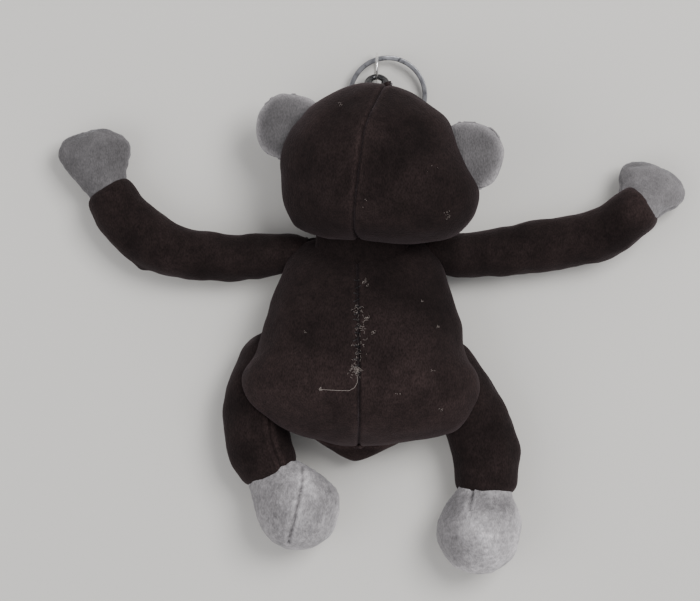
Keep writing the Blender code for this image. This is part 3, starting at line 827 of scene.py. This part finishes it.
def gloss_material(name, colour):
    """Glossy black with faint handling marks."""
    material, tree, shader = principled(name)
    shader.inputs["Base Color"].default_value = (*colour, 1.0)
    shader.inputs["Coat Weight"].default_value = 0.5
    shader.inputs["Coat Roughness"].default_value = 0.08
    worn = speckle(tree, object_place(tree), 900.0, 3.0, 0.14, 0.3)
    tree.links.new(worn, shader.inputs["Roughness"])
    return material


BLACK = plush(
    "black_plush", (0.0142, 0.0092, 0.0088), sheen=0.22, sheen_tint=(0.40, 0.31, 0.33),
    patch=0.22, mottling=0.16, fibre=0.4, relief=0.35,
)
GREY = plush(
    "grey_plush", (0.27, 0.255, 0.26), sheen=0.3, sheen_tint=(0.9, 0.9, 0.95),
    patch=0.06, mottling=0.05, fibre=0.22, relief=0.6,
)
THREAD = thread_material("black_thread", (0.012, 0.011, 0.012), roughness=0.45)
LINT = thread_material("white_lint", (0.36, 0.31, 0.28), roughness=0.9)
BRIGHT = steel_material("bright_steel", (0.86, 0.85, 0.83), roughness=0.10, scratch=0.1)
STEEL = steel_material("grey_steel", (0.24, 0.24, 0.255), roughness=0.36, scratch=0.15)
GLOSS = gloss_material("black_gloss", (0.012, 0.011, 0.012))


# ---- torso

def place_soft(piece, body, slot, fill, *nodes):
    """Rides a stuffed piece on its body and hides the nodes that it stands for."""
    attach(piece, body)
    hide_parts(*nodes)


def place_bent(piece, slot, bodies, start, end, *nodes):
    """Hides the nodes that a stuffed piece stands for and bakes its place into its mesh."""
    if nodes:
        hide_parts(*nodes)
    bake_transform(piece)


def torso_skin():
    """The torso's skin, with its side and back seams and the belly's tip past the hem."""
    skin = lofted(TORSO_STATIONS, 1.3, None, SIDE_SEAM_Z, TORSO_TOP, TORSO_LOW, BACK_SEAM)
    puff(skin, "torso", pinned_columns(skin, 0, TORSO_TOP // 2, TORSO_TOP))
    skin.refine()
    points = skin.points()
    low = np.sin(math.pi * np.clip(points[:, 2] / SIDE_SEAM_Z, 0, 1))
    near = np.clip((BELLY_TIP_START - points[:, 1]) / BELLY_TIP_FADE, 0, 1)
    aside = (points[:, 0] - BELLY_TIP_X) / BELLY_TIP_HALF_WIDTH
    points[:, 1] -= BELLY_TIP * low * near * np.clip(1 - np.abs(aside) ** 1.4, 0, 1)
    skin.take(points)
    skin.lumps(size=14.0, height=0.8, seed=1, uneven=0.3)
    skin.lumps(size=5.0, height=0.2, seed=2, uneven=0.2)
    skin.press(skin.column(0), dark=0.4, rim=0.8)
    skin.press(skin.column(2 * TORSO_TOP), dark=0.4, rim=0.8)
    skin.press(skin.column(TORSO_TOP), depth=0.8, width=0.6, dark=0.55, rim=0.3)
    # Painted shade towards the neck and painted light towards the bottom, partly also the nap lying
    # another way
    skin.shade *= np.interp(skin.points()[:, 1], *zip(*TORSO_SHADES))
    skin.settle()
    return skin


def make_torso():
    """The two back panels and the belly, cut from one skin. Gives the skin back."""
    skin = torso_skin()
    top = 2 * TORSO_TOP
    right = panel("torso_back_right", skin, BLACK, 0, TORSO_TOP)
    left = panel("torso_back_left", skin, BLACK, TORSO_TOP, top)
    belly = panel("torso_belly", skin, BLACK, top, skin.columns)
    place_soft(right, "torso", "black_plush", 0.7, "back_panel_right")
    place_soft(left, "torso", "black_plush", 0.7, "back_panel_left")
    place_soft(belly, "torso", "black_plush", 0.6, "belly_panel", "torso_stuffing")
    return skin


def make_neck():
    """The short plush neck that the head turns on, hidden under the head from above."""
    pivot = PIVOTS["neck_tilt"]
    skin = lofted(NECK_STATIONS, 1.5, along(NECK_AHEAD, pivot), None, 32, 32)
    skin.lumps(size=7.0, height=0.5, seed=9)
    skin.shade *= 0.8
    start, end = (pivot + np.array((0.0, reach, 0.0)) for reach in NECK_BEND)
    piece = whole("neck_plush", skin, BLACK)
    place_bent(piece, "black_plush", ("torso", "head"), start, end)


# ---- head

def head_frame():
    """The head's frame, turned and rolled as the head lies."""
    return (
        Matrix.Translation(HEAD_CENTRE)
        @ Matrix.Rotation(HEAD_TILT, 4, "Z")
        @ Matrix.Rotation(HEAD_ROLL, 4, "Y")
    )


def head_skin():
    """The head's skin, with its face and crown seams and the chin's slant."""
    frame_here = head_frame()
    skin = lofted(HEAD_STATIONS, 1.3, frame_here, FACE_SEAM_Z, HEAD_TOP, HEAD_LOW, CROWN_SEAM)
    puff(skin, "head", pinned_columns(skin, 0, HEAD_TOP // 2, HEAD_TOP))
    skin.refine()
    points = placed(frame_here.inverted(), skin.points())
    points[:, 1] += CHIN_SLANT * points[:, 0] * np.clip((-10.0 - points[:, 1]) / 12.0, 0, 1)
    skin.take(placed(frame_here, points))
    skin.lumps(size=13.0, height=0.7, seed=3, uneven=0.35)
    skin.lumps(size=5.0, height=0.2, seed=4, uneven=0.2)
    skin.press(skin.column(0))
    skin.press(skin.column(2 * HEAD_TOP))
    skin.press(skin.column(HEAD_TOP), depth=0.5, width=0.6, dark=0.3, rim=0.4)
    skin.settle()
    return skin


def ball_rows(size, squareness=1.0):
    """Stations of a squashed ball from end to end. A squareness below 1 fills its corners."""
    angles = np.linspace(0, math.pi, 9)
    return [
        (size[1] * math.cos(a), 0.0, size[0] * math.sin(a) ** squareness, size[2] * math.sin(a), 0.0)
        for a in angles
    ]


def make_ear(side):
    """A flat stuffed ear, with a painted highlight round its rim."""
    frame_here = head_frame() @ Matrix.Translation(EAR_PLACES[side])
    skin = lofted(ball_rows(EAR_SIZE, 0.8), 0.7, frame_here, None, EAR_SIDES, EAR_SIDES)
    puff(skin, "ear", pinned_columns(skin, 0, EAR_SIDES))
    skin.refine()
    skin.lumps(size=6.0, height=0.5, seed=5 if side == "left" else 6, uneven=0.3)
    edge = np.vstack([skin.column(0), skin.column(2 * EAR_SIDES)])
    # The ear's grey is darker in the middle, with a painted highlight in a band round its rim
    skin.shade *= 0.42 + 0.75 * np.exp(-((skin.distances(edge) / EAR_RIM) ** 2))
    skin.press(edge, depth=0.2, width=0.5, dark=0.0, rim=0.1)
    ear = whole(f"ear_{side}_plush", skin, GREY)
    place_soft(ear, "head", "grey_plush", 0.4, f"ear_{side}")


def muzzle_mark(tree, frame_here, route):
    """A route of (x, y) places in the muzzle's frame, laid on its skin from the front."""
    ahead = frame_here.to_3x3() @ Vector((0, 0, 1))
    found = []
    for x, y in route:
        start = frame_here @ Vector((x, y, -60.0))
        hit = tree.ray_cast(start, ahead)[0]
        if hit is not None:
            found.append(tuple(hit - ahead * 0.1))
    return found


def make_muzzle():
    """The muzzle under the face, with its stitched mouth and nostrils."""
    frame_here = head_frame() @ Matrix.Translation(MUZZLE_PLACE)
    skin = lofted(ball_rows(MUZZLE_SIZE), 1.0, frame_here, None, MUZZLE_SIDES, MUZZLE_SIDES)
    skin.refine()
    skin.lumps(size=6.0, height=0.3, seed=7, uneven=0.3)
    skin.shade *= 0.6
    skin.settle()
    place_soft(whole("muzzle_plush", skin, GREY), "head", "grey_plush", 0.6, "muzzle")
    tree = skin.tree()
    across = np.linspace(-MOUTH_HALF_WIDTH, MOUTH_HALF_WIDTH, 25)
    marks = [muzzle_mark(tree, frame_here, [(x, -3.4 + 0.030 * x * x) for x in across])]
    wide, tall = NOSTRIL_SIZE
    turns = np.linspace(0, math.tau, 13)
    for x, y in NOSTRIL_PLACES:
        nostril = [(x + wide * math.cos(turn), y + tall * math.sin(turn)) for turn in turns]
        marks.append(muzzle_mark(tree, frame_here, nostril))
    marks = [mark for mark in marks if len(mark) > 2]
    stitched = thread("muzzle_embroidery", marks, 0.35, THREAD)
    place_hard(stitched, "head", "black_gloss")


def make_head():
    """The head's three panels, the muzzle and the ears. Gives the head's skin back."""
    skin = head_skin()
    top = 2 * HEAD_TOP
    right = panel("head_back_right_plush", skin, BLACK, 0, HEAD_TOP)
    left = panel("head_back_left_plush", skin, BLACK, HEAD_TOP, top)
    face = panel("face_plush", skin, GREY, top, skin.columns)
    place_soft(right, "head", "black_plush", 0.7, "head_back_right")
    place_soft(left, "head", "black_plush", 0.7, "head_back_left")
    place_soft(face, "head", "grey_plush", 0.7, "face_panel", "head_stuffing")
    make_muzzle()
    for side in SIDES:
        make_ear(side)
    return skin


# ---- limbs

def make_sleeve(name, side, joint, far_joint, route, seed):
    """A stuffed tube of plush from inside the torso to the closed cuff."""
    pivot = PIVOTS[f"{joint}_{side}"]
    far = PIVOTS[f"{far_joint}_{side}"]
    last = np.array(route[-1])
    outwards = far - last[:3]
    outwards = outwards / np.linalg.norm(outwards)
    cuff = [(*(far + outwards * reach), last[3] * share) for reach, share in CUFFS[name, side]]
    skin = sleeve([*route, *cuff], SLEEVE_SIDES, 1.3)
    seam_column = SLEEVE_SEAMS[name, side]
    pins = pinned_columns(skin, seam_column) + pinned_rows(skin, 0, 1, 2, -1, -2, -3)
    puff(skin, "sleeve", pins)
    skin.refine()
    skin.lumps(size=9.0, height=0.7, seed=seed, uneven=0.35)
    skin.lumps(size=4.0, height=0.25, seed=seed + 1, uneven=0.2)
    if (name, side) == ("arm", "left"):
        skin.pull(ELBOW_TUFT, 1.5, 2.6)
    skin.press(skin.column(2 * seam_column), depth=0.5, width=0.6, dark=0.2, rim=0.8)
    # Painted sheen: the skin is painted lighter round the rounded end of the cuff
    ends = np.linalg.norm(skin.points() - (far + outwards * 2.0), axis=1)
    skin.shade *= 1 + 0.8 * np.exp(-((ends / 9.0) ** 2))
    skin.settle()
    first = np.array(route[3][:3]) - pivot
    first = first / np.linalg.norm(first)
    end = pivot + first * ROOT_RADII[name] * 1.1
    piece = whole(f"{name}_{side}_plush", skin, BLACK)
    nodes = (f"{name}_{side}", f"{name}_stuffing_{side}")
    place_bent(piece, "black_plush", ("torso", f"{name}_{side}"), pivot - first, end, *nodes)


def make_end(name, side, joint, direction, sections, parent, seed):
    """A grey hand or foot at the wrist or ankle."""
    pivot = PIVOTS[f"{joint}_{side}"]
    frame_here = along(direction, pivot)
    aside = HAND_ASIDE[side] if name == "hand" else 0.0
    breadth = HAND_BREADTH[side] if name == "hand" else 1.0
    rows = [
        (y, aside * min(max(y / 8.0, 0.0), 1.0), wide * breadth, deep, 0.0)
        for y, wide, deep in sections
    ]
    skin = lofted(rows, 1.1, frame_here, None, END_SIDES, END_SIDES)
    if name == "hand":
        points = placed(frame_here.inverted(), skin.points())
        points[:, 1] += HAND_SLANT[side] * points[:, 0] * np.clip(points[:, 1] / 15.0, 0, 1)
        skin.take(placed(frame_here, points))
    pins = pinned_columns(skin, 0, END_SIDES) + pinned_rows(skin, 0, 1, 2, -1, -2, -3)
    puff(skin, "end", pins)
    skin.refine()
    skin.lumps(size=7.0, height=0.8, seed=seed, uneven=0.2)
    skin.lumps(size=2.6, height=0.3, seed=seed + 1, uneven=0.1)
    skin.lumps(size=1.0, height=0.14, seed=seed + 2, uneven=0.45 if name == "foot" else 0.15)
    seam = END_SEAMS[name, side]
    if seam:
        skin.press(skin.draped(seam), depth=0.9, width=0.6, dark=0.6, rim=0.25)
    else:
        edge = np.vstack([skin.column(0), skin.column(2 * END_SIDES)])
        skin.press(edge, depth=0.4, width=0.6, dark=0.15, rim=0.3)
    points = skin.points()
    # Painted light: lighter on the side towards +X, -Y and up, where the light falls, and darker on
    # the far side
    toward_light = ((points - pivot) @ np.array((1.0, -0.6, 0.4))) / 20.0
    skin.shade *= END_TONES[name, side] * np.clip(1 + 0.3 * (toward_light - 0.3), 0.7, 1.4)
    # Painted highlights along the lit rims and painted shade on the shaded sides
    for places, factor, width in PAINTED_HIGHLIGHTS_AND_SHADE[name, side]:
        skin.tint(places, factor, width)
    skin.settle()
    piece = whole(f"{name}_{side}_plush", skin, GREY)
    ahead = np.array(Vector(direction).normalized())
    start = pivot - ahead * 2.0
    end = pivot + ahead * 6.0
    nodes = (f"{name}_{side}", f"{name}_stuffing_{side}")
    place_bent(piece, "grey_plush", (f"{parent}_{side}", f"{name}_{side}"), start, end, *nodes)


def make_limbs():
    """Each side's sleeves, hand and foot."""
    for side, seed in zip(SIDES, (10, 20)):
        hand = HAND_DIRECTIONS[side]
        foot = FOOT_DIRECTIONS[side]
        make_sleeve("arm", side, "shoulder", "wrist", ARM_ROUTES[side], seed)
        make_sleeve("leg", side, "hip", "ankle", LEG_ROUTES[side], seed + 2)
        make_end("hand", side, "wrist", hand, HAND_SECTIONS, "arm", seed + 4)
        make_end("foot", side, "ankle", foot, FOOT_SECTIONS, "leg", seed + 6)


# ---- hardware and trim

def bar_rings(route, plane, radii, sides):
    """Round rings along a route that stays in one plane."""
    rings = []
    for index, place in enumerate(route):
        before = route[max(index - 1, 0)]
        after = route[min(index + 1, len(route) - 1)]
        across = (after - before).normalized().cross(plane)
        rings.append(
            [
                place
                + (across * math.cos(turn) + plane * math.sin(turn)) * radii[index]
                for turn in (math.tau * step / sides for step in range(sides))
            ]
        )
    return rings


def place_hard(piece, body, slot, *nodes):
    """Rides a piece on its body and hides the nodes that it stands for, if any."""
    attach(piece, body)
    if nodes:
        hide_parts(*nodes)


def make_loop():
    """The glossy bight that the jump ring hangs in, with its two legs plump side by side."""
    apex = Vector(LOOP_APEX)
    root = Vector(LOOP_ROOT)
    ahead = (apex - root).normalized()
    across = Vector((1, 0, 0))
    plane = ahead.cross(across).normalized()
    middle = apex - ahead * LOOP_HALF_WIDTH
    tail = root - ahead * 4.0
    legs = [tail + (middle - tail) * (step / 16) for step in range(16)]
    route = [place - across * LOOP_HALF_WIDTH for place in legs]
    for step in range(33):
        turn = math.pi * step / 32
        bend = ahead * math.sin(turn) - across * math.cos(turn)
        route.append(middle + bend * LOOP_HALF_WIDTH)
    route += [place + across * LOOP_HALF_WIDTH for place in reversed(legs)]
    plump = [min(max((apex - place).dot(ahead) / LEG_SWELL, 0.0), 1.0) for place in route]
    radii = [CORD_R + (LEG_R - CORD_R) * share**2 * (3 - 2 * share) for share in plump]
    rings = bar_rings(route, plane, radii, 20)
    loop = ring_skin("loop_cord", rings, GLOSS, (route[0], route[-1]))
    place_hard(loop, "head", "black_gloss", "hanging_loop")


def make_jump_ring():
    """Bright wire bent round until its ends all but meet."""
    centre = Vector(JUMP_CENTRE)
    route = []
    for step in range(121):
        turn = JUMP_GAP / 2 + (math.tau - JUMP_GAP) * step / 120
        route.append(centre + Vector((0, math.cos(turn), math.sin(turn))) * JUMP_R)
    rings = bar_rings(route, Vector((1, 0, 0)), [JUMP_WIRE_R] * len(route), 16)
    ring = ring_skin("jump_ring_wire", rings, BRIGHT, (route[0], route[-1]))
    place_hard(ring, "jump_ring", "bright_steel", "jump_ring")


def make_split_ring():
    """Two turns of flat wire with rounded edges, and a step where the wire crosses over."""
    frame_here = Matrix.Translation(SPLIT_CENTRE) @ Matrix.Rotation(SPLIT_TILT, 4, "X")
    offset = (SPLIT_LAYER + SPLIT_SLIT) / 2
    first = SPLIT_RAMP
    last = 2 * math.tau - SPLIT_RAMP
    profile = []
    for step in range(24):
        turn = math.tau * (step + 0.5) / 24
        wide = math.copysign(abs(math.cos(turn)) ** 0.35, math.cos(turn))
        high = math.copysign(abs(math.sin(turn)) ** 0.35, math.sin(turn))
        profile.append((wide * SPLIT_WIDTH / 2, high * SPLIT_LAYER / 2))
    rings = []
    for step in range(241):
        turn = first + (last - first) * step / 240
        climb = min(max((turn - math.tau) / SPLIT_RAMP, -1.0), 1.0)
        height = offset * math.sin(climb * math.pi / 2)
        angle = turn + SPLIT_STEP_AT
        outwards = Vector((math.cos(angle), math.sin(angle), 0))
        rings.append(
            [
                frame_here @ (outwards * (SPLIT_R + wide) + Vector((0, 0, height + high)))
                for wide, high in profile
            ]
        )
    ends = [sum(rings[k], Vector()) / len(profile) for k in (0, -1)]
    ring = ring_skin("split_ring_wire", rings, STEEL, ends)
    place_hard(ring, "split_ring", "grey_steel", "split_ring")


def fluff(name, body, skin, spots, radius, seed):
    """Loose pale fibres caught in the pile, from (x, y, count, spread, length) spots."""
    chance = random.Random(seed)
    tree = skin.tree()
    routes = []
    for x, y, count, spread, length in spots:
        for _ in range(count):
            heading = chance.uniform(0, math.tau)
            bend = chance.uniform(-0.9, 0.9)
            place = [x + chance.gauss(0, spread), y + chance.gauss(0, spread)]
            reach = length * chance.uniform(0.5, 1.2)
            flat = []
            for _ in range(7):
                flat.append(tuple(place))
                place[0] += math.cos(heading) * reach / 6
                place[1] += math.sin(heading) * reach / 6
                heading += bend / 3
            lift = chance.uniform(0.05, 0.35)
            found = [skin.draped([spot, spot], 1.0, lift, tree)[:1] for spot in flat]
            route = [point for points in found for point in points]
            if len(route) == len(flat):
                routes.append(route)
    place_hard(thread(name, routes, radius, LINT, 1), body, "stuffing")


def make_trim(torso, head):
    """The closing stitches, their loose end and the lint, all laid on the finished skins."""
    tree = torso.tree()
    middle, top = STITCH_TOP
    stitches = []
    for step in range(STITCHES):
        y = top - STITCH_STEP * step
        x = middle + 0.3 * math.sin(step * 1.9)
        slant = 0.45 if step % 2 else -0.2
        route = [(x - STITCH_REACH, y - slant), (x, y), (x + STITCH_REACH, y + slant)]
        stitches.append(torso.draped(route, 0.15, 0.12, tree))
    place_hard(thread("closing_stitches", stitches, STITCH_R, THREAD), "torso", "black_plush")
    tail = torso.draped(TAIL_ROUTE, 0.4, 0.08, tree)
    place_hard(thread("thread_tail", [tail], TAIL_R, LINT), "torso", "stuffing")
    fluff("back_lint", "torso", torso, BACK_LINT, BACK_LINT_R, 31)
    fluff("head_lint", "head", head, HEAD_LINT, HEAD_LINT_R, 32)


def make_hardware():
    """The loop and the rings, and gloss on the eyes and washers that stay as they are."""
    make_loop()
    make_jump_ring()
    make_split_ring()
    for node in ("eye_left", "eye_right", "eye_washer_left", "eye_washer_right"):
        piece = frame["nodes"][node]
        piece.data.materials.clear()
        piece.data.materials.append(GLOSS)


# ---- studio

def make_studio():
    """The camera straight above, a pale floor, two soft lamps and a pale sky."""
    scene = bpy.context.scene
    camera = bpy.data.cameras.new("camera")
    camera.sensor_width = SENSOR_WIDTH
    camera.lens = camera.sensor_width * CAMERA_HEIGHT / (VIEW_WIDTH * MM)
    camera.clip_start = 0.01
    holder = bpy.data.objects.new("camera", camera)
    scene.collection.objects.link(holder)
    holder.location = Vector(VIEW_CENTRE) * MM + Vector((0, 0, CAMERA_HEIGHT))
    scene.camera = holder

    floor = bpy.data.meshes.new("floor")
    corners = [(x * FLOOR_HALF, y * FLOOR_HALF, 0) for x, y in ((-1, -1), (1, -1), (1, 1), (-1, 1))]
    floor.from_pydata(corners, [], [(0, 1, 2, 3)])
    material, _, shader = principled("pale_floor")
    shader.inputs["Base Color"].default_value = (0.74, 0.72, 0.68, 1.0)
    shader.inputs["Roughness"].default_value = 0.7
    floor.materials.append(material)
    ground = bpy.data.objects.new("floor", floor)
    scene.collection.objects.link(ground)

    for name, place, size, power in LAMPS:
        light = bpy.data.lights.new(name, "AREA")
        light.size = size
        light.energy = power
        lamp = bpy.data.objects.new(name, light)
        scene.collection.objects.link(lamp)
        lamp.location = place
        lamp.rotation_euler = (-Vector(place)).to_track_quat("-Z", "Y").to_euler()

    world = bpy.data.worlds.new("studio")
    world.use_nodes = True
    background = world.node_tree.nodes["Background"]
    background.inputs["Color"].default_value = (0.95, 0.96, 1.0, 1.0)
    background.inputs["Strength"].default_value = 0.55
    scene.world = world


make_studio()
torso_surface = make_torso()
make_neck()
head_surface = make_head()
make_limbs()
make_hardware()
make_trim(torso_surface, head_surface)
